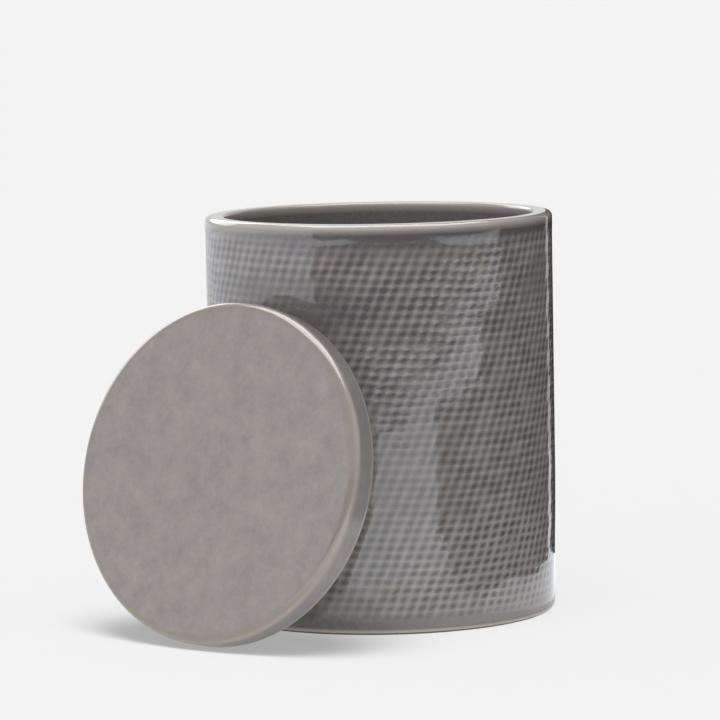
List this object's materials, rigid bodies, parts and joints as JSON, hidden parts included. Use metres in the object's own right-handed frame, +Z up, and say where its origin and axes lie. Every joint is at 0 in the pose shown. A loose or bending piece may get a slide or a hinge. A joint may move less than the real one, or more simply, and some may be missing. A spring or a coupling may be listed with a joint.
{
  "type": "canister",
  "caption": "Straight-sided round ceramic canister with a dimpled glazed wall, and its flat lift-off lid leaning on the wall beside it.",
  "frame": {"origin": "on the jar's axis, in the plane of the foot ring that it stands on", "axes": "+Z up along the jar's axis, from the foot to the rim; the lid leans on the wall on the -X -Y side"},
  "size_m": [0.1347, 0.1378, 0.115],
  "materials": {
    "jar_glaze": "gloss",
    "lid_glaze": "satin"
  },
  "bodies": {
    "jar": {"jar": "jar_glaze"},
    "lid": {"lid": "lid_glaze"}
  },
  "joints": [
    {"name": "lid_lift", "type": "slide", "parent": "jar", "child": "lid", "axis": [0, 0, 1], "range_m": [0, 0.13]}
  ]
}
